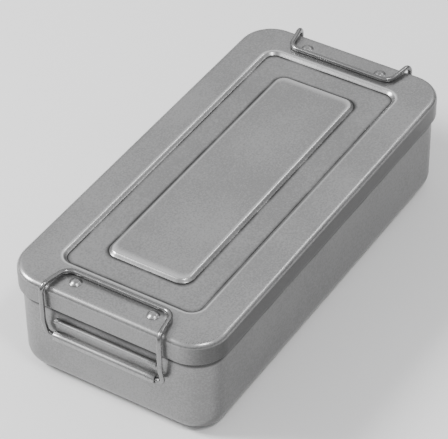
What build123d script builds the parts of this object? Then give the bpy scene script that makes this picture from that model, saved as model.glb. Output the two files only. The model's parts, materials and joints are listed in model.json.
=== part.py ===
from build123d import *
import os

# A lidded steel box, 200 x 98 mm, with a spring-wire bail at each end and two trays
# that lift out. X runs along the box, Z up, and the origin is under its middle.

# Lid: a pressed cap with an upright skirt
LID_LENGTH = 200.0
LID_WIDTH = 98.0
BOX_HEIGHT = 51.0  # from the table to the lid's flat rim
LID_SHEET = 0.8
LID_SKIRT = 10.5
LID_CORNER_R = 15.5
LID_EDGE_R = 2.6

# Pressed band and raised panel in the lid's top
RIM_AT_ENDS = 16.5
RIM_AT_SIDES = 15.0
BAND_DEPTH = 1.5
BAND_SLOPE = 2.4
BAND_CORNER_R = 7.0
BAND_FLOOR = 11.2
PANEL_SLOPE = 2.2
PANEL_CORNER_R = 6.0

# Bumps that the bails snap over
BUMP_FROM_END = 8.7
BUMPS_APART = 37.0
BUMP_BASE_R = 2.5
BUMP_HEIGHT = 1.3

# Body: a drawn pan that the lid's skirt slips over
BODY_INSET = 1.8  # outside of the skirt to outside of the wall
BODY_SHEET = 0.8
BODY_BOTTOM_R = 8.0
BODY_RIM_ROUND = 0.3
LID_SEAT_GAP = 0.4

# Latch: a bracket spot-welded to each end wall, and a bail of spring wire
WIRE_D = 2.2
PIN_GAP = 0.08  # radial, between a pin and its rolled bore
BRACKET_SHEET = 0.8
BRACKET_WIDTH = 49.0
BRACKET_RISE = 7.0  # pivot to the middle of the bead
BRACKET_BEAD_R = 1.0
PIVOT_HEIGHT = 26.5
BAIL_RUN_WIDTH = 50.6
BAIL_RUN_GAP = 0.2  # wire above the lid's rim
BAIL_BUMP_GAP = 0.4  # wire to the foot of a bump
BAIL_KNEE_OUT = 2.0  # beyond the lid's end
BAIL_KNEE_RISE = 0.8  # above the run
BAIL_SIDE_GAP = 3.5  # bracket's end to the leg's middle
BAIL_JOGGLE = 8.0  # above the pivot
BAIL_PIN_DEPTH = 10.0
PIN_BEND_R = 2.2
JOGGLE_BEND_R = 8.0
KNEE_BEND_R = 3.5
RUN_BEND_R = 5.0

# Trays: the lower one stands on the box's floor, the upper one on the lower one
TRAY_SHEET = 0.6
TRAY_FINGER_ROOM = 13.8  # box wall to tray at each end
TRAY_SIDE_GAP = 2.4
TRAY_CORNER_R = 8.0
TRAY_BOTTOM_R = 6.0
LOWER_TRAY_HEIGHT = 20.0
UPPER_TRAY_HEIGHT = 14.0
STACK_GAP = 0.1
DIVIDER_SHEET = 0.6
DIVIDER_GAP = 0.1
LOWER_CROSS_DIVIDERS = 2
UPPER_CROSS_DIVIDERS = 3

# Angle strips on the end walls that keep the trays from sliding
GUIDE_SHEET = 0.8
GUIDE_CORNER_GAP = 0.3  # fin to the start of the wall's corner
GUIDE_FOOT = 9.0
GUIDE_BOTTOM = 10.0
GUIDE_HEIGHT = 34.0
GUIDE_GAP = 0.5

# Folding wire handles on the upper tray, each held by two riveted clips
HANDLE_WIRE_D = 1.6
HANDLE_REACH = 11.6
HANDLE_FOOT_BEND_R = 1.8
HANDLE_GRIP_BEND_R = 4.0
CLIP_SHEET = 0.6
CLIP_WIDTH = 7.0
CLIP_GUIDE_GAP = 0.9
CLIP_GAP = 1.7  # handle's arm to the clip
CLIP_TAIL = 10.0
CLIP_RIM_GAP = 0.1
FOOT_END_GAP = 0.5
RIVET_R = 1.2
RIVET_HEAD_R = 2.1
RIVET_HEAD = 0.8
RIVET_GAP = 0.02
RIVET_DROP = 4.6  # tray's rim to the rivet

# Places that follow from the sizes above
WIRE_R = WIRE_D / 2
HANDLE_R = HANDLE_WIRE_D / 2
LID_END = LID_LENGTH / 2
SKIRT_BOTTOM = BOX_HEIGHT - LID_SKIRT
BODY_LENGTH = LID_LENGTH - 2 * BODY_INSET
BODY_WIDTH = LID_WIDTH - 2 * BODY_INSET
BODY_END = BODY_LENGTH / 2
BODY_CORNER_R = LID_CORNER_R - BODY_INSET
BODY_RIM = BOX_HEIGHT - LID_SHEET - LID_SEAT_GAP
BUMP_X = LID_END - BUMP_FROM_END

PIN_BORE_R = WIRE_R + PIN_GAP
PIVOT_X = BODY_END + BRACKET_SHEET + PIN_BORE_R
RUN_X = BUMP_X - BUMP_BASE_R - BAIL_BUMP_GAP - WIRE_R
RUN_Z = BOX_HEIGHT + BAIL_RUN_GAP + WIRE_R
KNEE_X = LID_END + BAIL_KNEE_OUT
LEG_Y = BRACKET_WIDTH / 2 + BAIL_SIDE_GAP

TRAY_LENGTH = BODY_LENGTH - 2 * (BODY_SHEET + TRAY_FINGER_ROOM)
TRAY_WIDTH = BODY_WIDTH - 2 * (BODY_SHEET + TRAY_SIDE_GAP)
TRAY_END = TRAY_LENGTH / 2
LOWER_TRAY_Z = BODY_SHEET
UPPER_TRAY_Z = LOWER_TRAY_Z + LOWER_TRAY_HEIGHT + STACK_GAP
UPPER_RIM = UPPER_TRAY_Z + UPPER_TRAY_HEIGHT
GUIDE_Y = BODY_WIDTH / 2 - BODY_CORNER_R - GUIDE_CORNER_GAP - GUIDE_SHEET

CLIP_BORE_R = HANDLE_R + PIN_GAP
CLIP_ROLL_R = CLIP_BORE_R + CLIP_SHEET
HANDLE_X = TRAY_END + CLIP_SHEET - CLIP_ROLL_R
HANDLE_Z = UPPER_RIM + CLIP_RIM_GAP + CLIP_ROLL_R
CLIP_Y = GUIDE_Y - CLIP_GUIDE_GAP - CLIP_WIDTH / 2
ARM_Y = CLIP_Y - CLIP_WIDTH / 2 - CLIP_GAP - HANDLE_R
RIVET_Z = UPPER_RIM - RIVET_DROP


def edges_at(solid, z):
    """The edges that lie flat at one height."""
    flat = [e for e in solid.edges() if abs(e.bounding_box().min.Z - z) < 1e-4]
    return [e for e in flat if abs(e.bounding_box().max.Z - z) < 1e-4]


def slab(x, y, z):
    """A block between two values on each axis."""
    size = [abs(high - low) for low, high in (x, y, z)]
    middle = [(low + high) / 2 for low, high in (x, y, z)]
    return Pos(*middle) * Box(*size)


def rounded_block(length, width, low, high, corner_r):
    """An upright block with rounded corners in plan."""
    outline = Plane.XY.offset(low) * RectangleRounded(length, width, corner_r)
    return extrude(outline, high - low)


def pan_form(length, width, low, high, corner_r, bottom_r):
    """A block with rounded corners and a rounded bottom edge: a pan's outside or inside."""
    block = rounded_block(length, width, low, high, corner_r)
    return fillet(edges_at(block, low), bottom_r)


def sloped_block(length, width, corner_r, low, high, spread):
    """A block whose plan grows by spread on every side from its bottom to its top."""
    bottom = Plane.XY.offset(low) * RectangleRounded(length, width, corner_r)
    top_size = (length + 2 * spread, width + 2 * spread, corner_r + spread)
    return loft([bottom, Plane.XY.offset(high) * RectangleRounded(*top_size)])


def pressed_band(top):
    """The space of the lid's sunk band, a ring with sloping sides, below the height top."""
    floor = top - BAND_DEPTH
    length = LID_LENGTH - 2 * (RIM_AT_ENDS + BAND_SLOPE)
    width = LID_WIDTH - 2 * (RIM_AT_SIDES + BAND_SLOPE)
    hollow = sloped_block(length, width, BAND_CORNER_R - BAND_SLOPE, floor, top, BAND_SLOPE)
    panel_size = (length - 2 * BAND_FLOOR, width - 2 * BAND_FLOOR, PANEL_CORNER_R)
    return hollow - sloped_block(*panel_size, floor, top, -PANEL_SLOPE)


def bump_places():
    return [(x, y) for x in (-BUMP_X, BUMP_X) for y in (-BUMPS_APART / 2, BUMPS_APART / 2)]


def lid_shell():
    """The lid: one sheet, with its band and its four bumps pressed into it."""
    outside = rounded_block(LID_LENGTH, LID_WIDTH, SKIRT_BOTTOM, BOX_HEIGHT, LID_CORNER_R)
    outside = fillet(edges_at(outside, BOX_HEIGHT), LID_EDGE_R)
    under = BOX_HEIGHT - LID_SHEET
    inner_size = (LID_LENGTH - 2 * LID_SHEET, LID_WIDTH - 2 * LID_SHEET)
    inside = rounded_block(*inner_size, SKIRT_BOTTOM, under, LID_CORNER_R - LID_SHEET)
    inside = fillet(edges_at(inside, under), LID_EDGE_R - LID_SHEET)
    shell = outside - pressed_band(BOX_HEIGHT) - (inside - pressed_band(under))
    ball_r = (BUMP_BASE_R**2 + BUMP_HEIGHT**2) / (2 * BUMP_HEIGHT)
    ball_z = BOX_HEIGHT + BUMP_HEIGHT - ball_r
    for x, y in bump_places():
        cap_box = slab((x - ball_r, x + ball_r), (y - ball_r, y + ball_r), (under, under + ball_r))
        shell += Pos(x, y, ball_z) * Sphere(ball_r) & cap_box
        shell -= Pos(x, y, ball_z) * Sphere(ball_r - LID_SHEET)
    return shell


def body_shell():
    """The drawn body, with a softly rounded rim."""
    outside = pan_form(BODY_LENGTH, BODY_WIDTH, 0, BODY_RIM, BODY_CORNER_R, BODY_BOTTOM_R)
    inner_size = (BODY_LENGTH - 2 * BODY_SHEET, BODY_WIDTH - 2 * BODY_SHEET)
    inner_radii = (BODY_CORNER_R - BODY_SHEET, BODY_BOTTOM_R - BODY_SHEET)
    shell = outside - pan_form(*inner_size, BODY_SHEET, BODY_RIM, *inner_radii)
    return fillet(edges_at(shell, BODY_RIM), BODY_RIM_ROUND)


def rod_along_y(r, x, z, width, y=0.0):
    """A round bar along Y, centred on y."""
    return Pos(x, y, z) * Rot(90, 0, 0) * Cylinder(r, width)


def latch_bracket():
    """The right bracket: a plate with a bead along its top and a rolled bore at its foot."""
    width = BRACKET_WIDTH
    bead_z = PIVOT_HEIGHT + BRACKET_RISE
    plate_x = (BODY_END, BODY_END + BRACKET_SHEET)
    plate = slab(plate_x, (-width / 2, width / 2), (PIVOT_HEIGHT, bead_z + BRACKET_BEAD_R))
    bead = rod_along_y(BRACKET_BEAD_R, BODY_END + BRACKET_SHEET, bead_z, width)
    bead &= slab((BODY_END, LID_LENGTH), (-width, width), (0, BOX_HEIGHT))
    roll = rod_along_y(PIN_BORE_R + BRACKET_SHEET, PIVOT_X, PIVOT_HEIGHT, width)
    return plate + bead + roll - rod_along_y(PIN_BORE_R, PIVOT_X, PIVOT_HEIGHT, width)


def bent_wire(points, bends, radius):
    """A round wire along straight runs, with an arc at each corner."""
    path = FilletPolyline(*points, radius=bends)
    return sweep(Plane(path @ 0, z_dir=path % 0) * Circle(radius), path)


def bail():
    """The right bail: a pin at each end, two cranked legs, and a run across the lid."""
    pin_y = BRACKET_WIDTH / 2 - BAIL_PIN_DEPTH
    half = [
        (PIVOT_X, pin_y, PIVOT_HEIGHT),
        (PIVOT_X, LEG_Y, PIVOT_HEIGHT),
        (KNEE_X, LEG_Y, PIVOT_HEIGHT + BAIL_JOGGLE),
        (KNEE_X, LEG_Y, RUN_Z + BAIL_KNEE_RISE),
        (RUN_X, BAIL_RUN_WIDTH / 2, RUN_Z),
    ]
    bends = [PIN_BEND_R, JOGGLE_BEND_R, KNEE_BEND_R, RUN_BEND_R]
    other = [(x, -y, z) for x, y, z in reversed(half)]
    return bent_wire(half + other, bends + bends[::-1], WIRE_R)


def tray_form(low, height, inset):
    """A tray's outside, or with inset its inside, open at the top."""
    size = (TRAY_LENGTH - 2 * inset, TRAY_WIDTH - 2 * inset)
    radii = (TRAY_CORNER_R - inset, TRAY_BOTTOM_R - inset)
    return pan_form(*size, low + inset, low + height, *radii)


def tray_pan(low, height):
    return tray_form(low, height, 0) - tray_form(low, height, TRAY_SHEET)


def cross_places(count):
    """Where the cross dividers stand: they share the tray's length evenly."""
    step = TRAY_LENGTH / (count + 1)
    return [step * (n + 1) - TRAY_END for n in range(count)]


def dividers(low, height, count):
    """A tray's long divider and its cross dividers, which slot into each other."""
    room = tray_form(low, height, TRAY_SHEET + DIVIDER_GAP)
    half_sheet = DIVIDER_SHEET / 2
    half_slot = half_sheet + DIVIDER_GAP
    lap = low + height / 2
    rise = (low, low + height)
    along = room & slab((-TRAY_END, TRAY_END), (-half_sheet, half_sheet), rise)
    across = []
    for x in cross_places(count):
        slot_x = (x - half_slot, x + half_slot)
        along -= slab(slot_x, (-half_sheet, half_sheet), (lap, low + height))
        plate = room & slab((x - half_sheet, x + half_sheet), (-TRAY_WIDTH, TRAY_WIDTH), rise)
        across.append(plate - slab(slot_x, (-half_slot, half_slot), (low, lap + DIVIDER_GAP)))
    return along, Compound(across)


def tray_guides():
    """The right end's two angle strips, each with a foot on the end wall."""
    wall = BODY_END - BODY_SHEET
    rise = (GUIDE_BOTTOM, GUIDE_BOTTOM + GUIDE_HEIGHT)
    strips = []
    for side in (-1, 1):
        fin_y = sorted((side * GUIDE_Y, side * (GUIDE_Y + GUIDE_SHEET)))
        foot_y = sorted((side * GUIDE_Y, side * (GUIDE_Y - GUIDE_FOOT)))
        fin = slab((TRAY_END + GUIDE_GAP, wall), fin_y, rise)
        strips.append(fin + slab((wall - GUIDE_SHEET, wall), foot_y, rise))
    return Compound(strips)


def rivet_hole(y):
    """A bar along X where a rivet passes through a clip and the right end of the tray."""
    return Pos(TRAY_END, y, RIVET_Z) * Rot(0, 90, 0) * Cylinder(RIVET_R + RIVET_GAP, CLIP_TAIL)


def upper_tray_pan():
    """The upper tray's pan, with a hole for each clip's rivet."""
    pan = tray_pan(UPPER_TRAY_Z, UPPER_TRAY_HEIGHT)
    for y in (-CLIP_Y, CLIP_Y):
        pan -= rivet_hole(y)
        pan -= mirror(rivet_hole(y), Plane.YZ)
    return pan


def handle_clips():
    """The right end's two clips: a plate on the tray's end and a roll round the handle's foot."""
    clips = []
    for y in (-CLIP_Y, CLIP_Y):
        width = (y - CLIP_WIDTH / 2, y + CLIP_WIDTH / 2)
        plate_x = (TRAY_END, TRAY_END + CLIP_SHEET)
        plate = slab(plate_x, width, (UPPER_RIM - CLIP_TAIL, HANDLE_Z))
        roll = rod_along_y(CLIP_ROLL_R, HANDLE_X, HANDLE_Z, CLIP_WIDTH, y)
        bore = rod_along_y(CLIP_BORE_R, HANDLE_X, HANDLE_Z, CLIP_WIDTH, y)
        clips.append(plate + roll - bore - rivet_hole(y))
    return Compound(clips)


def clip_rivets():
    """The right end's two rivets, each with a low head on both sides."""
    rivets = []
    inner, outer = TRAY_END - TRAY_SHEET, TRAY_END + CLIP_SHEET
    for y in (-CLIP_Y, CLIP_Y):
        place = Pos((inner + outer) / 2, y, RIVET_Z) * Rot(0, 90, 0)
        shank = place * Cylinder(RIVET_R, outer - inner)
        heads = []
        for x, way in ((outer + RIVET_HEAD / 2, 1), (inner - RIVET_HEAD / 2, -1)):
            head = Cylinder(RIVET_HEAD_R, RIVET_HEAD)
            head = fillet(edges_at(head, RIVET_HEAD / 2), RIVET_HEAD / 2)
            heads.append(Pos(x, y, RIVET_Z) * Rot(0, 90 * way, 0) * head)
        rivets.append(shank + heads[0] + heads[1])
    return Compound(rivets)


def tray_handle():
    """The right handle, folded inward over the tray, with its feet in the clips."""
    foot_y = CLIP_Y + CLIP_WIDTH / 2 - FOOT_END_GAP
    half = [
        (HANDLE_X, foot_y, HANDLE_Z),
        (HANDLE_X, ARM_Y, HANDLE_Z),
        (HANDLE_X - HANDLE_REACH, ARM_Y, HANDLE_Z),
    ]
    bends = [HANDLE_FOOT_BEND_R, HANDLE_GRIP_BEND_R]
    other = [(x, -y, z) for x, y, z in reversed(half)]
    return bent_wire(half + other, bends + bends[::-1], HANDLE_R)


def at_both_ends(shape, right_name, left_name):
    """A piece at the right end and its mirror image at the left."""
    return {right_name: shape, left_name: mirror(shape, Plane.YZ)}


def nodes():
    """Every node of the model by name."""
    lower = dividers(LOWER_TRAY_Z, LOWER_TRAY_HEIGHT, LOWER_CROSS_DIVIDERS)
    upper = dividers(UPPER_TRAY_Z, UPPER_TRAY_HEIGHT, UPPER_CROSS_DIVIDERS)
    return {
        "body_shell": body_shell(),
        "lid_shell": lid_shell(),
        **at_both_ends(latch_bracket(), "right_latch_bracket", "left_latch_bracket"),
        **at_both_ends(bail(), "right_bail", "left_bail"),
        **at_both_ends(tray_guides(), "right_tray_guides", "left_tray_guides"),
        "lower_tray_pan": tray_pan(LOWER_TRAY_Z, LOWER_TRAY_HEIGHT),
        "lower_long_divider": lower[0],
        "lower_cross_dividers": lower[1],
        "upper_tray_pan": upper_tray_pan(),
        "upper_long_divider": upper[0],
        "upper_cross_dividers": upper[1],
        **at_both_ends(handle_clips(), "right_handle_clips", "left_handle_clips"),
        **at_both_ends(clip_rivets(), "right_clip_rivets", "left_clip_rivets"),
        **at_both_ends(tray_handle(), "right_tray_handle", "left_tray_handle"),
    }


os.makedirs("parts", exist_ok=True)
for name, shape in nodes().items():
    export_step(shape, f"parts/{name}.step")
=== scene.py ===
# %% [markdown]
# A steel box with wire latches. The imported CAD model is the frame: it says where every piece is
# and how it moves. This lesson gives the box its real skin. Each sheet and each wire is made again
# as a smooth surface from a formula, laid where the frame says, and given a finish from nodes.

# %% Load the frame
import json
import math

import bpy
import numpy as np
from mathutils import Matrix, Vector


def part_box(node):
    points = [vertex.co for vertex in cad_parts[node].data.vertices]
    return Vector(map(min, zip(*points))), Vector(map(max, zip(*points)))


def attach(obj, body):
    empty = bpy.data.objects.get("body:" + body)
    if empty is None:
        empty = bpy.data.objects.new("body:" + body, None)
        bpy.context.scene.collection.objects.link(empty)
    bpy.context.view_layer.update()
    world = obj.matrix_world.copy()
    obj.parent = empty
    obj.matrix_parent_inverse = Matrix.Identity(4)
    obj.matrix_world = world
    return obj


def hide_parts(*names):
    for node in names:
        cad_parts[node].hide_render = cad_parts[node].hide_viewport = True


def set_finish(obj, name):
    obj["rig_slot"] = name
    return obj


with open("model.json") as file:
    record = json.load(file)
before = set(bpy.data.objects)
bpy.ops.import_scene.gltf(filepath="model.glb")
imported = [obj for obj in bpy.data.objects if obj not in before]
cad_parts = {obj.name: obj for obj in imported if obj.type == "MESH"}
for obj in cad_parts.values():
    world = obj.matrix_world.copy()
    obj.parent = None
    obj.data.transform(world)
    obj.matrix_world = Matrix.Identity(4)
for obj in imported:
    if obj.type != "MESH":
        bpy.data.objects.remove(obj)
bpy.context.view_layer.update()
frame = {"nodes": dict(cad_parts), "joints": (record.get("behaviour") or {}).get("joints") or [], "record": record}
JOINTS = {joint["name"]: joint for joint in frame["joints"]}
MM = 0.001

# %% [markdown]
# The camera comes first, so that every later cell can be judged through it. It stands off one
# corner, well above the lid, and looks with a long lens, which keeps the far edges nearly
# parallel. Its place is given as a direction and a distance from a point inside the box.

# %% Camera
VIEW_AZIMUTH = math.radians(-57.37)
VIEW_ELEVATION = math.radians(40.64)
VIEW_ROLL = math.radians(-1.03)
VIEW_DISTANCE = 0.9661
VIEW_TARGET = Vector((0.0, 0.0, 0.025))
VIEW_SLIDE = (-0.0053, 0.0001)  # how far the camera slides to its right and up
FIELD_OF_VIEW = math.radians(11.343)


def camera_axes(azimuth, elevation, roll):
    """The camera's right, up and backward directions, turned by roll about the line of sight."""
    level = math.cos(elevation)
    back = Vector((math.sin(azimuth) * level, -math.cos(azimuth) * level, math.sin(elevation)))
    right = Vector((0, 0, 1)).cross(back).normalized()
    up = back.cross(right)
    turned_right = right * math.cos(roll) + up * math.sin(roll)
    turned_up = up * math.cos(roll) - right * math.sin(roll)
    return turned_right, turned_up, back


right, up, back = camera_axes(VIEW_AZIMUTH, VIEW_ELEVATION, VIEW_ROLL)
lens = bpy.data.cameras.new("view")
lens.sensor_width = 36.0
lens.lens = lens.sensor_width / (2 * math.tan(FIELD_OF_VIEW / 2))
lens.clip_end = 20.0
camera = bpy.data.objects.new("camera", lens)
eye = VIEW_TARGET + back * VIEW_DISTANCE + right * VIEW_SLIDE[0] + up * VIEW_SLIDE[1]
camera.matrix_world = Matrix.Translation(eye) @ Matrix((right, up, back)).transposed().to_4x4()
bpy.context.scene.collection.objects.link(camera)
bpy.context.scene.camera = camera
print("camera at", [round(v, 3) for v in eye], "lens", round(lens.lens, 1), "mm")

# %% [markdown]
# Every surface below is a grid of points: rows of rings, each ring closed on itself. One helper
# turns such a grid into a mesh. It joins neighbouring rings with four-sided faces, closes the
# first and last ring with a fan to a middle point, and turns the faces outwards if the enclosed
# volume comes out negative.

# %% Grid to mesh


def faces_of(rows, ring):
    """Quads between neighbouring rings, then a triangle fan at each end of the stack."""
    start = np.arange(rows - 1)[:, None] * ring
    here = np.arange(ring)[None, :]
    after = (here + 1) % ring
    quads = np.stack([start + here, start + after, start + ring + after, start + ring + here], -1)
    first, last = rows * ring, rows * ring + 1
    turn = np.arange(ring)
    next_turn = (turn + 1) % ring
    low = np.stack([np.full(ring, first), next_turn, turn], -1)
    top = (rows - 1) * ring
    high = np.stack([np.full(ring, last), top + turn, top + next_turn], -1)
    return quads.reshape(-1, 4), np.concatenate([low, high])


def volume_of(points, quads, fans):
    """The signed volume: a sixth of the sum of a . (b x c) over triangles."""
    tris = np.concatenate([quads[:, [0, 1, 2]], quads[:, [0, 2, 3]], fans])
    a, b, c = (points[tris[:, k]] for k in range(3))
    return float(np.einsum("ij,ij->i", a, np.cross(b, c)).sum() / 6)


def make_piece(name, grid, body, slot, *nodes, edge=None):
    """A smooth closed mesh from a grid of rings (rows x ring x 3, metres), riding on a body.

    edge is a number for each point, which the finish reads: 1 in a hollow, -1 on a proud edge.
    """
    rows, ring = grid.shape[:2]
    points = np.concatenate([grid.reshape(-1, 3), grid[0].mean(0)[None], grid[-1].mean(0)[None]])
    quads, fans = faces_of(rows, ring)
    volume = volume_of(points, quads, fans)
    if volume < 0:
        quads, fans = quads[:, ::-1], fans[:, ::-1]
    mesh = bpy.data.meshes.new(name)
    mesh.from_pydata(points.tolist(), [], quads.tolist() + fans.tolist())
    mesh.polygons.foreach_set("use_smooth", np.ones(len(mesh.polygons), bool))
    mesh.update()
    if edge is not None:
        layer = mesh.attributes.new("edge", "FLOAT", "POINT")
        layer.data.foreach_set("value", np.concatenate([edge.ravel(), [0, 0]]).astype(np.float32))
    piece = bpy.data.objects.new(name, mesh)
    bpy.context.scene.collection.objects.link(piece)
    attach(piece, body)
    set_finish(piece, slot)
    if nodes:
        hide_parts(*nodes)
    print(f"{name}: {len(mesh.polygons)} faces, {abs(volume) * 1e6:.1f} cm3 of metal")
    return piece


# %% [markdown]
# Lid, body and trays are all pans with a rounded rectangle for their plan. A rounded rectangle is
# a small rectangle swollen by a circle, so one formula gives every ring: a corner of the small
# rectangle, or a point on its side, plus the corner radius times an outward direction. Only four
# numbers change from ring to ring: the half length, the half width, the corner radius and the
# height. A pressed step is then a few rings whose height follows a smooth curve.

# %% Rounded rectangles


def outline(end_marks, side_marks, corner_steps=14):
    """Where each point of a ring sits: its share of the inner rectangle, and its outward way."""
    turns = np.linspace(0, math.pi / 2, corner_steps + 2)[1:-1]
    shares, ways = [], []
    for quarter, marks in enumerate((end_marks, side_marks, end_marks, side_marks)):
        angle = quarter * math.pi / 2
        out = np.array([round(math.cos(angle)), round(math.sin(angle))])
        along = np.array([-out[1], out[0]])
        shares.append(out + marks[:, None] * along)
        ways.append(np.repeat(out[None], len(marks), 0))
        shares.append(np.repeat((out + along)[None], corner_steps, 0))
        bend = angle + turns
        ways.append(np.stack([np.cos(bend), np.sin(bend)], -1))
    return np.concatenate(shares).astype(float), np.concatenate(ways).astype(float)


def rings(profile, end_marks, side_marks):
    """The grid of a pan: inner rectangle times share, plus corner radius times outward way."""
    share, way = outline(end_marks, side_marks)
    half_length, half_width, corner, height = (profile[:, k, None] for k in range(4))
    x = (half_length - corner) * share[:, 0] + corner * way[:, 0]
    y = (half_width - corner) * share[:, 1] + corner * way[:, 1]
    return np.stack([x, y, np.broadcast_to(height, x.shape)], -1)


def ramp(first, last, steps, curve=None):
    """Stations from first towards last, without the last: straight, or with heights on a curve."""
    t = np.linspace(0, 1, steps, endpoint=False)[:, None]
    first, last = np.array(first, float), np.array(last, float)
    rows = first + (last - first) * t
    if curve is not None:
        rows[:, 3] = first[3] + (last[3] - first[3]) * curve(t[:, 0])
    return rows


def s_bend(t):
    """A pressed step's height, level at both ends: 3 t^2 - 2 t^3."""
    return t * t * (3 - 2 * t)


def inset(station, distance, height):
    """A station moved inwards by a distance on every side, at another height."""
    half_length, half_width, corner, _ = station
    return (half_length - distance, half_width - distance, corner - distance, height)


def turned_edge(station, radius, start, end, steps):
    """A rounded edge: from the edge circle's outermost station, angles measured from outwards."""
    angles = np.linspace(start, end, steps, endpoint=False)
    return np.array([
        inset(station, radius * (1 - math.cos(a)), station[3] + radius * math.sin(a))
        for a in angles
    ])


PLAIN_MARKS = np.linspace(-1, 1, 25)
print("a plain ring has", len(outline(PLAIN_MARKS, PLAIN_MARKS)[0]), "points")

# %% [markdown]
# The lid is one pressed sheet. From its middle outwards it has a raised panel, a slope down to a
# sunk band, a slope up to the flat rim, a rounded edge and an upright skirt. The inside repeats
# all of it one sheet lower. The four bumps for the bails are pressed into the rim by adding a
# small dome to the heights, so the rings crowd together where the bumps are.

# %% Lid
SHEET = 0.8 * MM
lid_low, lid_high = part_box("lid_shell")
BUMP_HEIGHT = 1.3 * MM
RIM_Z = lid_high.z - BUMP_HEIGHT
SKIRT_Z = lid_low.z
LID_CORNER = 15.5 * MM
LID_EDGE = 2.6 * MM
BAND_DEPTH = 1.5 * MM
RIM_AT_ENDS, RIM_AT_SIDES = 16.5 * MM, 15.0 * MM
BAND_SLOPE, BAND_FLOOR, PANEL_SLOPE = 2.4 * MM, 11.2 * MM, 2.2 * MM
BAND_CORNER, PANEL_CORNER = 7.0 * MM, 6.0 * MM
BUMP_X, BUMP_Y = lid_high.x - 8.7 * MM, 18.5 * MM
BUMP_FOOT, BUMP_BLEND = 2.5 * MM, 0.12 * MM
LIP = SHEET / 2
CORE = 0.02  # the innermost ring's share of the ring outside it


def lid_top(under):
    """The top's stations from the middle to the rounded edge, lowered by under."""
    rim, floor = RIM_Z - under, RIM_Z - BAND_DEPTH - under
    brim = (lid_high.x - RIM_AT_ENDS, lid_high.y - RIM_AT_SIDES, BAND_CORNER, rim)
    foot = inset(brim, BAND_SLOPE, floor)
    panel_foot = (foot[0] - BAND_FLOOR, foot[1] - BAND_FLOOR, PANEL_CORNER, floor)
    panel = inset(panel_foot, PANEL_SLOPE, rim)
    middle = (panel[0] * CORE, panel[1] * CORE, panel[2] * CORE, rim)
    edge = (lid_high.x - LID_EDGE, lid_high.y - LID_EDGE, LID_CORNER - LID_EDGE, rim)
    round_bump = 1.1 * BUMP_FOOT
    near = (BUMP_X - round_bump - brim[0]) / (edge[0] - brim[0])
    far = (BUMP_X + round_bump - brim[0]) / (edge[0] - brim[0])
    before, after = (tuple(np.array(brim) + (np.array(edge) - brim) * k) for k in (near, far))
    return np.concatenate([
        ramp(middle, panel, 16),
        ramp(panel, panel_foot, 14, s_bend),
        ramp(panel_foot, foot, 8),
        ramp(foot, brim, 14, s_bend),
        ramp(brim, before, 5),
        ramp(before, after, 24),
        ramp(after, edge, 4),
    ])


def bump_height(x, y):
    """Each bump is a ball's cap, blended into the rim: half of cap + sqrt(cap^2 + blend^2)."""
    ball = (BUMP_FOOT**2 + BUMP_HEIGHT**2) / (2 * BUMP_HEIGHT)
    reach = np.minimum(np.hypot(np.abs(x) - BUMP_X, np.abs(y) - BUMP_Y), ball)
    cap = np.sqrt(ball**2 - reach**2) - (ball - BUMP_HEIGHT)
    return np.where(reach < ball, (cap + np.hypot(cap, BUMP_BLEND)) / 2, 0)


def lid_profile():
    """The lid's whole section: over the top, down the skirt, round its lip and back inside."""
    right_angle = math.pi / 2
    outer = (lid_high.x, lid_high.y, LID_CORNER, RIM_Z - LID_EDGE)
    lip = (lid_high.x, lid_high.y, LID_CORNER, SKIRT_Z + LIP)
    inner = inset(outer, SHEET, RIM_Z - LID_EDGE)
    inner_lip = inset(lip, SHEET, SKIRT_Z + LIP)
    inner_edge = LID_EDGE - SHEET
    return np.concatenate([
        lid_top(0.0),
        turned_edge(outer, LID_EDGE, right_angle, 0, 10),
        ramp(outer, lip, 5),
        turned_edge(lip, LIP, 0, -2 * right_angle, 8),
        ramp(inner_lip, inner, 4),
        turned_edge(inner, inner_edge, 0, right_angle, 6),
        lid_top(SHEET)[::-1],
    ])


def edges(profile, reach, deep, proud):
    """Where the section bends: the mean height of the points reach before and after a point,
    less its own height. A hollow is its share of deep, squared, from 0 to 1. A proud edge is
    its share of proud, squared, from 0 to -1.
    """
    steps = np.hypot(np.diff(profile[:, 0]), np.diff(profile[:, 3]))
    along = np.concatenate([[0], np.cumsum(steps)])
    height = profile[:, 3]
    beside = [np.interp(along + way * reach, along, height) for way in (-1, 1)]
    bend = sum(beside) / 2 - height
    return np.clip(bend / deep, 0, 1) ** 2 - np.clip(-bend / proud, 0, 1) ** 2


EDGE_REACH, HOLLOW_DEEP, EDGE_PROUD = 0.6 * MM, 0.13 * MM, 0.12 * MM
# A ring of painted shade round each bump's foot: its strength, where it sits and how wide, in shares of the foot.
RING_SHADE, RING_AT, RING_WIDTH = 0.6, 1.02, 0.12  # a line round each bump, in shares of its foot
at_bumps = np.linspace(0.46, 0.75, 24)
bump_marks = np.concatenate([-at_bumps[::-1], np.linspace(-0.42, 0.42, 13), at_bumps])
lid_end_marks = np.concatenate([[-1, -0.88], bump_marks, [0.88, 1]])
lid_section = lid_profile()
lid_grid = rings(lid_section, lid_end_marks, np.linspace(-1, 1, 41))
on_top = lid_grid[..., 2] > RIM_Z - 1.2 * SHEET
lid_grid[..., 2] += np.where(on_top, bump_height(lid_grid[..., 0], lid_grid[..., 1]), 0)
top_rows = len(lid_top(0.0))
outer_rows = top_rows + 12  # the top, the rounded edge and the start of the skirt
# The edge numbers steer the lid's finish: painted shade in hollows and round the bumps, a painted highlight on
# proud edges.
lid_edge = np.zeros(lid_grid.shape[:2])
bends = edges(lid_section, EDGE_REACH, HOLLOW_DEEP, EDGE_PROUD)
lid_edge[:outer_rows] = bends[:outer_rows, None]
bump_reach = np.hypot(np.abs(lid_grid[..., 0]) - BUMP_X, np.abs(lid_grid[..., 1]) - BUMP_Y)
bump_ring = RING_SHADE * np.exp(-((bump_reach / BUMP_FOOT - RING_AT) / RING_WIDTH) ** 2)
lid_edge[:top_rows] += bump_ring[:top_rows]
lid = make_piece("lid", lid_grid, "lid", "lid_steel", "lid_shell", edge=lid_edge)

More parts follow.
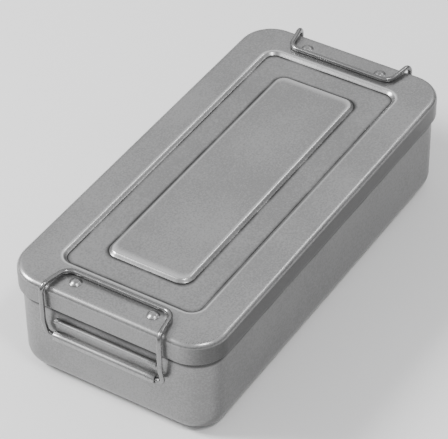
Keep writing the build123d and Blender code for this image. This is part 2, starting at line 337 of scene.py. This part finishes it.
# %% [markdown]
# The body and both trays are plain drawn pans: a flat floor, a rounded bottom edge, an upright
# wall and a rounded lip. One function makes all three.

# %% Pans


def pan_profile(half_length, half_width, low, high, corner, bottom, sheet):
    """A pan's section: outside floor, bottom edge, wall, lip, then the inside back to the floor."""
    right_angle = math.pi / 2
    lip = sheet / 2
    outside = (half_length, half_width, corner, low + bottom)
    brim = (half_length, half_width, corner, high - lip)
    inside = inset(outside, sheet, low + bottom)
    inner_brim = inset(brim, sheet, high - lip)
    floor = inset(outside, bottom, low)
    inner_floor = inset(floor, 0.0, low + sheet)
    middle = (floor[0] * CORE, floor[1] * CORE, floor[2] * CORE, low)
    inner_middle = inset(middle, 0.0, low + sheet)
    return np.concatenate([
        ramp(middle, floor, 8),
        turned_edge(outside, bottom, -right_angle, 0, 12),
        ramp(outside, brim, 8),
        turned_edge(brim, lip, 0, 2 * right_angle, 8),
        ramp(inner_brim, inside, 8),
        turned_edge(inside, bottom - sheet, 0, -right_angle, 10),
        ramp(inner_floor, inner_middle, 8),
        [inner_middle],
    ])


def make_pan(name, node, body, slot, corner, bottom, sheet):
    """A pan that fills its CAD node's box."""
    low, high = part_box(node)
    profile = pan_profile(high.x, high.y, low.z, high.z, corner, bottom, sheet)
    grid = rings(profile, PLAIN_MARKS, PLAIN_MARKS)
    return make_piece(name, grid, body, slot, node)


BODY_CORNER, BODY_BOTTOM = 13.7 * MM, 8.0 * MM
TRAY_CORNER, TRAY_BOTTOM, TRAY_SHEET = 8.0 * MM, 6.0 * MM, 0.6 * MM
body = make_pan("body", "body_shell", "box", "body_steel", BODY_CORNER, BODY_BOTTOM, SHEET)
TRAY_SIZES = (TRAY_CORNER, TRAY_BOTTOM, TRAY_SHEET)
lower_tray = make_pan("lower_tray", "lower_tray_pan", "lower_tray", "tray_steel", *TRAY_SIZES)
upper_tray = make_pan("upper_tray", "upper_tray_pan", "upper_tray", "tray_steel", *TRAY_SIZES)

# %% [markdown]
# The bails and the tray's handles are bent from round wire. A bent wire is straight between its
# bends, and each bend is an arc that touches both runs, so the path is worked out from a few
# corner points and one radius for each. The wire's round section is then carried along the path
# and ends in a softly rounded tip.

# %% Bent wire


def bent_path(points, radii, steps=12):
    """Straight runs joined by arcs. Each arc starts r tan(turn / 2) before its corner."""
    points = np.array(points, float)
    come = points[1:-1] - points[:-2]
    go = points[2:] - points[1:-1]
    come /= np.linalg.norm(come, axis=1, keepdims=True)
    go /= np.linalg.norm(go, axis=1, keepdims=True)
    turn = np.arccos(np.clip((come * go).sum(1), -1, 1))[:, None]
    radii = np.array(radii, float)[:, None]
    start = points[1:-1] - come * radii * np.tan(turn / 2)
    aside = go - come * np.cos(turn)
    aside /= np.linalg.norm(aside, axis=1, keepdims=True)
    angle = turn[:, None] * np.linspace(0, 1, steps)[None, :, None]
    arcs = start[:, None] + radii[:, None] * (
        come[:, None] * np.sin(angle) + aside[:, None] * (1 - np.cos(angle))
    )
    return np.concatenate([points[:1], arcs.reshape(-1, 3), points[-1:]])


def carry(section, path, side, tip):
    """A section (two columns, across and outwards) set square to a path at each of its points.

    Each point is path + across * side + outwards * (side x tangent). The ends pull in over the
    length tip, as a quarter circle, to round them.
    """
    tangent = np.gradient(path, axis=0)
    tangent /= np.linalg.norm(tangent, axis=1, keepdims=True)
    side = side - (side * tangent).sum(1, keepdims=True) * tangent
    side /= np.linalg.norm(side, axis=1, keepdims=True)
    normal = np.cross(side, tangent)
    angle = np.linspace(0, math.pi / 2, 6)[1:]
    shrink, push = np.cos(angle) * 0.98 + 0.02, np.sin(angle) * tip
    ends = [0] * len(angle), [-1] * len(angle)
    path = np.concatenate([
        path[ends[0]] - tangent[ends[0]] * push[::-1, None], path,
        path[ends[1]] + tangent[ends[1]] * push[:, None],
    ])
    scale = np.concatenate([shrink[::-1], np.ones(len(tangent)), shrink])[:, None, None]
    side = np.concatenate([side[ends[0]], side, side[ends[1]]])
    normal = np.concatenate([normal[ends[0]], normal, normal[ends[1]]])
    across, outwards = section[None, :, 0, None], section[None, :, 1, None]
    return path[:, None] + scale * (across * side[:, None] + outwards * normal[:, None])


def circle(radius, steps=20):
    """A round section."""
    angle = np.linspace(0, 2 * math.pi, steps, endpoint=False)
    return radius * np.stack([np.cos(angle), np.sin(angle)], -1)


def make_wire(name, corners, radii, wire_r, body, *nodes):
    """A bent wire piece. Its section faces away from the middle of the bend."""
    path = bent_path(corners, radii)
    side = path - path.mean(0)
    tip = 0.4 * wire_r
    path[0] += (path[1] - path[0]) / np.linalg.norm(path[1] - path[0]) * tip
    path[-1] += (path[-2] - path[-1]) / np.linalg.norm(path[-2] - path[-1]) * tip
    length = np.linalg.norm(np.diff(path, axis=0), axis=1).sum()
    print(f"{name}: {length * 1000:.0f} mm of wire")
    return make_piece(name, carry(circle(wire_r), path, side, tip), body, "spring_wire", *nodes)


def mirrored(half, way):
    """A wire's corner points on both sides of the box's long axis, at the end that way names."""
    points = [(way * x, y, z) for x, y, z in half]
    return points + [(x, -y, z) for x, y, z in reversed(points)]


# %% [markdown]
# Each bail is one spring wire: a pin that turns in the bracket, a cranked leg, a knee past the
# lid's edge, and a run that lies on the rim just behind the two bumps. The corner points follow
# from the hinge's place and from the box of the CAD bail.

# %% Bails
WIRE = 1.1 * MM
RUN_HALF, LEG_Y, PIN_Y = 25.3 * MM, 28.0 * MM, 14.5 * MM
KNEE_RISE, JOGGLE, RUN_GAP = 0.8 * MM, 8.0 * MM, 0.2 * MM
BAIL_BENDS = [v * MM for v in (2.2, 8.0, 3.5, 5.0, 5.0, 3.5, 8.0, 2.2)]


def make_bail(side, way):
    """The bail at one end, from its pin to the run across the lid and back."""
    low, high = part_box(f"{side}_bail")
    pivot = JOINTS[f"{side}_bail_swing"]["pos_m"]
    pivot_x, pivot_z = abs(pivot[0]), pivot[2]
    near, far = sorted((abs(low.x), abs(high.x)))
    run_x, knee_x = near + WIRE, far - WIRE
    run_z = RIM_Z + RUN_GAP + WIRE
    half = [
        (pivot_x, PIN_Y, pivot_z), (pivot_x, LEG_Y, pivot_z), (knee_x, LEG_Y, pivot_z + JOGGLE),
        (knee_x, LEG_Y, run_z + KNEE_RISE), (run_x, RUN_HALF, run_z),
    ]
    name = f"{side}_bail"
    return make_wire(f"{name}_wire", mirrored(half, way), BAIL_BENDS, WIRE, name, name)


bails = [make_bail("left", -1), make_bail("right", 1)]

# %% [markdown]
# The upper tray's handles are bent the same way from thinner wire. They lie folded inwards, and
# their feet turn in the clips.

# %% Tray handles
HANDLE_WIRE = 0.8 * MM
ARM_Y = 22.0 * MM
HANDLE_BENDS = [v * MM for v in (1.8, 4.0, 4.0, 1.8)]


def make_handle(side, way):
    """One folding handle: foot, arm, grip, arm, foot."""
    low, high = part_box(f"{side}_tray_handle")
    pivot = JOINTS[f"{side}_handle_fold"]["pos_m"]
    grip_x = min(abs(low.x), abs(high.x)) + HANDLE_WIRE
    half = [
        (abs(pivot[0]), high.y, pivot[2]), (abs(pivot[0]), ARM_Y, pivot[2]),
        (grip_x, ARM_Y, pivot[2]),
    ]
    name = f"{side}_tray_handle"
    return make_wire(f"{name}_wire", mirrored(half, way), HANDLE_BENDS, HANDLE_WIRE, name, name)


handles = [make_handle("left", -1), make_handle("right", 1)]

# %% [markdown]
# A bracket is a strip of sheet, bent twice: its top edge is hemmed into a bead and its foot is
# rolled into the bore that the bail's pins turn in. It is made as the strip is: a flat section,
# as wide as the bracket and as thick as the sheet, carried along the bent line.

# %% Latch brackets
BRACKET_SHEET = 0.8 * MM
BEAD = 1.0 * MM
BORE_GAP = 0.08 * MM
STRIP_END = 0.1 * MM


def flat_section(width, thickness, steps=4):
    """A strip's section, with its two edges rounded by half circles."""
    half, r = width / 2 - thickness / 2, thickness / 2
    angle = np.linspace(-math.pi / 2, math.pi / 2, steps + 2)
    end = np.stack([half + r * np.cos(angle), r * np.sin(angle)], -1)
    span = np.linspace(1, -1, 14)[1:-1, None] * half
    top = np.concatenate([span, np.full_like(span, r)], 1)
    return np.concatenate([end, top, -end, -top])


def arc(x, z, radius, turns):
    """Points on a circle in the X-Z plane: the centre plus radius times (cos, sin)."""
    return np.stack([x + radius * np.cos(turns), z + radius * np.sin(turns)], -1)


def bracket_path(pivot_x, pivot_z, bore, top):
    """The strip's middle line in the X-Z plane: bead, plate, then nearly a whole turn of roll."""
    roll = bore + BRACKET_SHEET / 2
    plate_x = pivot_x - roll
    bead_r = BEAD - BRACKET_SHEET / 2
    bead_z = top - bead_r
    bead = arc(plate_x + bead_r, bead_z, bead_r, np.linspace(-0.75 * math.pi, math.pi, 22))
    plate = np.stack([np.full(8, plate_x), np.linspace(bead_z, pivot_z, 10)[1:-1]], -1)
    rolled = arc(pivot_x, pivot_z, roll, np.linspace(math.pi, 2.88 * math.pi, 40))
    return np.concatenate([bead, plate, rolled])


def make_bracket(side, way):
    """One latch bracket: the bent strip, as wide as its CAD node."""
    node = f"{side}_latch_bracket"
    low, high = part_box(node)
    pivot = JOINTS[f"{side}_bail_swing"]["pos_m"]
    line = bracket_path(abs(pivot[0]), pivot[2], WIRE + BORE_GAP, high.z - BRACKET_SHEET / 2)
    path = np.stack([way * line[:, 0], np.zeros(len(line)), line[:, 1]], -1)
    side_way = np.broadcast_to([0.0, 1.0, 0.0], path.shape)
    grid = carry(flat_section(high.y - low.y, BRACKET_SHEET), path, side_way, STRIP_END)
    return make_piece(f"{side}_bracket", grid, "box", "bracket_steel", node)


brackets = [make_bracket("left", -1), make_bracket("right", 1)]

# %% [markdown]
# Now the finishes. Node trees get long, so the shader maths is written as Python: a small class
# wraps a socket and its operators add the Math nodes, and one method adds any other node.

# %% Shader helpers


class Value:
    """An output socket that can be added, subtracted and multiplied."""

    def __init__(self, finish, socket):
        self.finish = finish
        self.socket = socket

    def maths(self, operation, first, second):
        return self.finish.node("ShaderNodeMath", {"operation": operation}, {0: first, 1: second})

    def __add__(self, other):
        return self.maths("ADD", self, other)

    def __radd__(self, other):
        return self.maths("ADD", other, self)

    def __sub__(self, other):
        return self.maths("SUBTRACT", self, other)

    def __rsub__(self, other):
        return self.maths("SUBTRACT", other, self)

    def __mul__(self, other):
        return self.maths("MULTIPLY", self, other)

    def __rmul__(self, other):
        return self.maths("MULTIPLY", other, self)


class Finish:
    """A material and the one method that adds nodes to it."""

    def __init__(self, name):
        self.material = bpy.data.materials.new(name)
        self.material.use_nodes = True
        self.tree = self.material.node_tree
        self.tree.nodes.clear()

    def node(self, kind, settings=None, inputs=None, output=0):
        """Adds a node, applies its settings, then sets or links its sockets."""
        node = self.tree.nodes.new(kind)
        for key, value in (settings or {}).items():
            setattr(node, key, value)
        for key, value in (inputs or {}).items():
            if isinstance(value, Value):
                self.tree.links.new(value.socket, node.inputs[key])
            else:
                node.inputs[key].default_value = value
        return Value(self, node.outputs[output]) if len(node.outputs) else None

    def noise(self, place, scale, detail=2.0, roughness=0.5):
        """Noise with about one feature every 1 / scale metres, from 0 to 1."""
        inputs = {"Vector": place, "Scale": scale, "Detail": detail, "Roughness": roughness}
        return self.node("ShaderNodeTexNoise", None, inputs, "Fac")

    def stretched(self, place, factors):
        """Coordinates multiplied per axis."""
        return self.node("ShaderNodeVectorMath", {"operation": "MULTIPLY"}, {0: place, 1: factors})

    def away(self, place, axis):
        """The distance from the box's middle along one axis."""
        part = self.node("ShaderNodeSeparateXYZ", None, {0: place}, axis)
        return self.node("ShaderNodeMath", {"operation": "ABSOLUTE"}, {0: part})

    def between(self, value, low, high, to_low, to_high):
        """Remaps low..high to to_low..to_high with a soft S curve."""
        settings = {"interpolation_type": "SMOOTHSTEP"}
        inputs = {
            "Value": value, "From Min": low, "From Max": high, "To Min": to_low, "To Max": to_high,
        }
        return self.node("ShaderNodeMapRange", settings, inputs)

    def blend(self, factor, first, second):
        """A colour between two colours."""
        settings = {"data_type": "RGBA"}
        return self.node("ShaderNodeMix", settings, {0: factor, 6: first, 7: second}, 2)


def grey(level):
    """A neutral colour."""
    return (level, level, level, 1.0)


# %% [markdown]
# Satin stainless steel is nearly a mirror that has been scratched very finely the same way. Three
# things make it look real here: the roughness drifts over a few centimetres and where it has been
# handled, a fine grain runs along the sheet, and the sheet isn't quite flat, so reflections swim.
# Shade is painted into the colour as well: darker in the lid's hollows, on its skirt and under it.
# Proud edges are rubbed smoother and painted bright as a highlight, most of all towards the ends.

# %% Steel sheet
CLOUDS, SMUDGES, GRAIN, SPECKLES = 26.0, 14.0, 150.0, 1200.0  # features in a metre
GRAIN_SHAPE = (1.0, 24.0, 24.0)
WAVES, RIPPLES, RIPPLE_SHARE = 22.0, 60.0, 0.25
GRAIN_HEIGHT, SPECKLE_HEIGHT = 0.000004, 0.000008
# The last two shares are the tone of painted shade and of the painted highlight on proud edges.
DARK, BRIGHT, SHADOWED, GLINT = 0.84, 1.14, 0.12, 2.2  # shares of a finish's tone
# Proud edges are rubbed and painted bright more towards the ends: from the first distance, full at the second.
RUB_GLINT_STARTS, RUB_GLINT_FULL = 55.0 * MM, 80.0 * MM


def steel_sheet(name, tone, rough, waviness, painted_shade=None, wear_and_glint=False):
    """Satin sheet steel on Object coordinates: handling marks, fine grain, gentle waves, painted shade, rubbed
    edges with a painted highlight.
    """
    finish = Finish(name)
    place = finish.node("ShaderNodeTexCoord", None, None, "Object")
    cloud = finish.noise(place, CLOUDS, 3.0, 0.55)
    smudge = finish.between(finish.noise(place, SMUDGES, 4.0, 0.6), 0.5, 0.66, 0.0, 1.0)
    grain = finish.noise(finish.stretched(place, GRAIN_SHAPE), GRAIN, 3.0, 0.6)
    speckle = finish.noise(place, SPECKLES, 2.0, 0.7)
    roughness = rough + (cloud - 0.5) * 0.12 + smudge * 0.05 + (grain - 0.5) * 0.08
    shade = finish.between(cloud + (speckle - 0.5) * 1.5, 0.2, 0.8, 0.0, 1.0)
    colour = finish.blend(shade, grey(tone * DARK), grey(tone * BRIGHT))
    # Painted shade: the colour darkens where the given mask is high.
    if painted_shade:
        colour = finish.blend(painted_shade(finish, place), colour, grey(tone * SHADOWED))
    # Proud edges: rubbed smoother, and painted bright as a painted highlight, most towards the ends.
    if wear_and_glint:
        edge = finish.node("ShaderNodeAttribute", {"attribute_name": "edge"}, None, "Fac")
        rubbed_glint = finish.between(edge, -1.0, -0.1, 1.0, 0.0)
        rubbed_glint = rubbed_glint * finish.between(finish.away(place, "X"), RUB_GLINT_STARTS, RUB_GLINT_FULL, 0.5, 1.0)
        colour = finish.blend(rubbed_glint, colour, grey(tone * GLINT))
        roughness = roughness - rubbed_glint * 0.12
    waves = finish.noise(place, WAVES, 1.0) * waviness
    ripples = finish.noise(place, RIPPLES, 1.0) * waviness * RIPPLE_SHARE
    height = waves + ripples + grain * GRAIN_HEIGHT + speckle * SPECKLE_HEIGHT
    bump = finish.node("ShaderNodeBump", None, {"Strength": 1.0, "Distance": 1.0, "Height": height})
    shader = finish.node("ShaderNodeBsdfPrincipled", None, {
        "Base Color": colour, "Metallic": 0.8, "Roughness": roughness, "Normal": bump,
        "Specular IOR Level": 0.3,
    })
    finish.node("ShaderNodeOutputMaterial", None, {"Surface": shader})
    return finish.material


# %% [markdown]
# Where shade is painted depends on the piece. The lid gets painted shade in the hollows of its
# pressing and a darker skirt, most of all along the long sides. The body has a painted shadow line
# where the skirt ends, a broad painted shadow band above each bracket, and darker long sides.

# %% Painted shade
BRACKET_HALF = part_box("left_latch_bracket")[1].y
SIDE_STARTS, SIDE_FULL = 34.0 * MM, 47.0 * MM
# How much painted shade the lid's skirt gets at its ends and at its sides, and the body at its sides.
SKIRT_AT_ENDS, SKIRT_AT_SIDES, BODY_AT_SIDES = 0.26, 0.56, 0.22
# Heights of the body's painted shadow line and band under the skirt, and where the painted shade fades out inside
# it.
LINE_FOOT, LINE_TOP = SKIRT_Z - 2.9 * MM, SKIRT_Z - 1.5 * MM
BAND_FOOT, BAND_TOP = SKIRT_Z - 5.5 * MM, SKIRT_Z - 2.0 * MM
FADE_FROM, FADE_ABOVE = SKIRT_Z + 0.6 * MM, SKIRT_Z + 2.2 * MM
RAGGED, LOWER_AT_SIDES = 0.0012, 0.0008


def long_sides(finish, place):
    """1 on the two long sides, which get more painted shade, and 0 on its ends."""
    return finish.between(finish.away(place, "Y"), SIDE_STARTS, SIDE_FULL, 0.0, 1.0)


def shade_on_lid(finish, place):
    """The lid's painted shade: in the hollows, broken up by noise, and on the skirt, most along the long sides."""
    edge = finish.node("ShaderNodeAttribute", {"attribute_name": "edge"}, None, "Fac")
    height = finish.node("ShaderNodeSeparateXYZ", None, {0: place}, "Z")
    sides = long_sides(finish, place)
    hollow = finish.between(edge, 0.0, 1.0, 0.0, 1.0)
    hollow = hollow * finish.between(finish.noise(place, 70.0, 2.0), 0.3, 0.6, 0.6, 1.0)
    skirt = finish.between(height, RIM_Z - LID_EDGE, RIM_Z - 0.4 * LID_EDGE, 1.0, 0.0)
    skirt = skirt * (SKIRT_AT_ENDS + sides * SKIRT_AT_SIDES)
    return 1.0 - (1.0 - hollow) * (1.0 - skirt)


def shade_under_lid(finish, place):
    """The body's painted shade: a shadow line under the lid's skirt, a broad shadow band above each bracket,
    darker long sides.
    """
    height = finish.node("ShaderNodeSeparateXYZ", None, {0: place}, "Z")
    aside = finish.away(place, "Y")
    sides = long_sides(finish, place)
    broken = height + finish.noise(place, 90.0, 2.0) * RAGGED + sides * LOWER_AT_SIDES
    line = finish.between(broken, LINE_FOOT, LINE_TOP, 0.0, 0.85)
    band = finish.between(broken, BAND_FOOT, BAND_TOP, 0.0, 0.7)
    band = band * finish.between(aside, BRACKET_HALF - 1.5 * MM, BRACKET_HALF + 1.0 * MM, 1.0, 0.0)
    covered = finish.between(broken, FADE_FROM, FADE_ABOVE, 1.0, 0.12)
    return (1.0 - (1.0 - line) * (1.0 - band) * (1.0 - sides * BODY_AT_SIDES)) * covered


# %% [markdown]
# Drawn wire is brighter and smoother than sheet. Then each slot of the frame gets its finish, from
# a tone, a roughness and, for sheet, how far out of true it is.

# %% Wire, and the list of finishes


def drawn_wire(name, tone, rough):
    """Bright wire: smoother than the sheet, with short die marks along it and a few dull spots."""
    finish = Finish(name)
    place = finish.node("ShaderNodeTexCoord", None, None, "Object")
    spots = finish.between(finish.noise(place, 260.0, 2.0), 0.52, 0.7, 0.0, 1.0)
    marks = finish.noise(place, 2200.0, 1.0)
    roughness = rough + spots * 0.10 + (marks - 0.5) * 0.06
    colour = finish.blend(spots, grey(tone), grey(tone * 0.86))
    height = marks * 0.000008
    bump = finish.node("ShaderNodeBump", None, {"Strength": 1.0, "Distance": 1.0, "Height": height})
    shader = finish.node("ShaderNodeBsdfPrincipled", None, {
        "Base Color": colour, "Metallic": 0.9, "Roughness": roughness, "Normal": bump,
    })
    finish.node("ShaderNodeOutputMaterial", None, {"Surface": shader})
    return finish.material


FINISHES = {
    # The lid and body finishes carry painted shade, and the lid's proud edges a painted highlight.
    "lid_steel": steel_sheet("lid_steel", 0.30, 0.30, 0.00006, shade_on_lid, wear_and_glint=True),
    "body_steel": steel_sheet("body_steel", 0.25, 0.32, 0.00008, shade_under_lid),
    "bracket_steel": steel_sheet("bracket_steel", 0.30, 0.28, 0.00001),
    "tray_steel": steel_sheet("tray_steel", 0.36, 0.33, 0.00004),
    "rivet_steel": steel_sheet("rivet_steel", 0.40, 0.28, 0.00001),
    "spring_wire": drawn_wire("spring_wire", 0.24, 0.22),
}
print("finishes:", ", ".join(FINISHES))

# %% [markdown]
# Every piece takes the finish of its slot. The CAD nodes that still show get theirs in the same
# way, through their own material slots.

# %% Hand out the finishes
SLOT_OF = {row["node"]: row["material_slot"] for row in frame["record"]["subparts"]}


def paint(piece, material):
    """Gives a piece one material for all its faces."""
    piece.data.materials.clear()
    piece.data.materials.append(material)


new_pieces = [lid, body, lower_tray, upper_tray, *bails, *handles, *brackets]
for piece in new_pieces:
    paint(piece, FINISHES[piece["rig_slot"]])
for name, node in frame["nodes"].items():
    if not node.hide_render:
        paint(node, FINISHES[SLOT_OF[name]])
print("painted", len(new_pieces), "new pieces")

# %% [markdown]
# The studio: a pale floor, a big soft light high on the left, which throws the wires' shadows to
# the right, a weaker one overhead that the slopes facing the camera pick up, and a faint one on
# the right. The sky is graded from dark at the horizon to bright two thirds of the way up, since
# polished metal shows whatever stands round it.

# %% Floor, lights and sky
FLOOR_HALF = 4.0
floor_mesh = bpy.data.meshes.new("floor")
floor_corners = [(x, y, 0.0) for x, y in ((-1, -1), (1, -1), (1, 1), (-1, 1))]
floor_points = [tuple(FLOOR_HALF * v for v in corner) for corner in floor_corners]
floor_mesh.from_pydata(floor_points, [], [(0, 1, 2, 3)])
floor = bpy.data.objects.new("floor", floor_mesh)
bpy.context.scene.collection.objects.link(floor)
floor_finish = Finish("floor_paper")
paper_looks = {"Base Color": grey(0.8), "Roughness": 0.8}
paper = floor_finish.node("ShaderNodeBsdfPrincipled", None, paper_looks)
floor_finish.node("ShaderNodeOutputMaterial", None, {"Surface": paper})
paint(floor, floor_finish.material)


def softbox(name, place, size, watts):
    """A square area light that looks at the box."""
    light = bpy.data.lights.new(name, "AREA")
    light.shape = "SQUARE"
    light.size = size
    light.energy = watts
    lamp = bpy.data.objects.new(name, light)
    lamp.location = place
    lamp.rotation_euler = (VIEW_TARGET - Vector(place)).to_track_quat("-Z", "Y").to_euler()
    bpy.context.scene.collection.objects.link(lamp)


softbox("key", (-0.50, 1.00, 0.92), 0.4, 31.0)
softbox("overhead", (-0.34, -0.66, 1.42), 0.22, 9.5)
softbox("right_fill", (0.98, -0.55, 1.12), 0.3, 2.2)


def sky_finish(heights):
    """A sky whose brightness depends only on how high one looks: stops of sine of the height."""
    sky = bpy.data.worlds.new("studio")
    sky.use_nodes = True
    tree = sky.node_tree
    look = tree.nodes.new("ShaderNodeTexCoord")
    parts = tree.nodes.new("ShaderNodeSeparateXYZ")
    ramp_node = tree.nodes.new("ShaderNodeValToRGB")
    tree.links.new(look.outputs["Generated"], parts.inputs[0])
    tree.links.new(parts.outputs["Z"], ramp_node.inputs["Fac"])
    tree.links.new(ramp_node.outputs["Color"], tree.nodes["Background"].inputs["Color"])
    stops = ramp_node.color_ramp.elements
    for place, level in heights[2:]:
        stops.new(place)
    for stop, (place, level) in zip(stops, heights):
        stop.position, stop.color = place, (level, level, level * 1.01, 1.0)
    return sky


bpy.context.scene.world = sky_finish([(0.0, 0.05), (0.42, 0.58), (0.65, 1.32), (0.95, 0.50)])

# %% Finish
print("scene built")
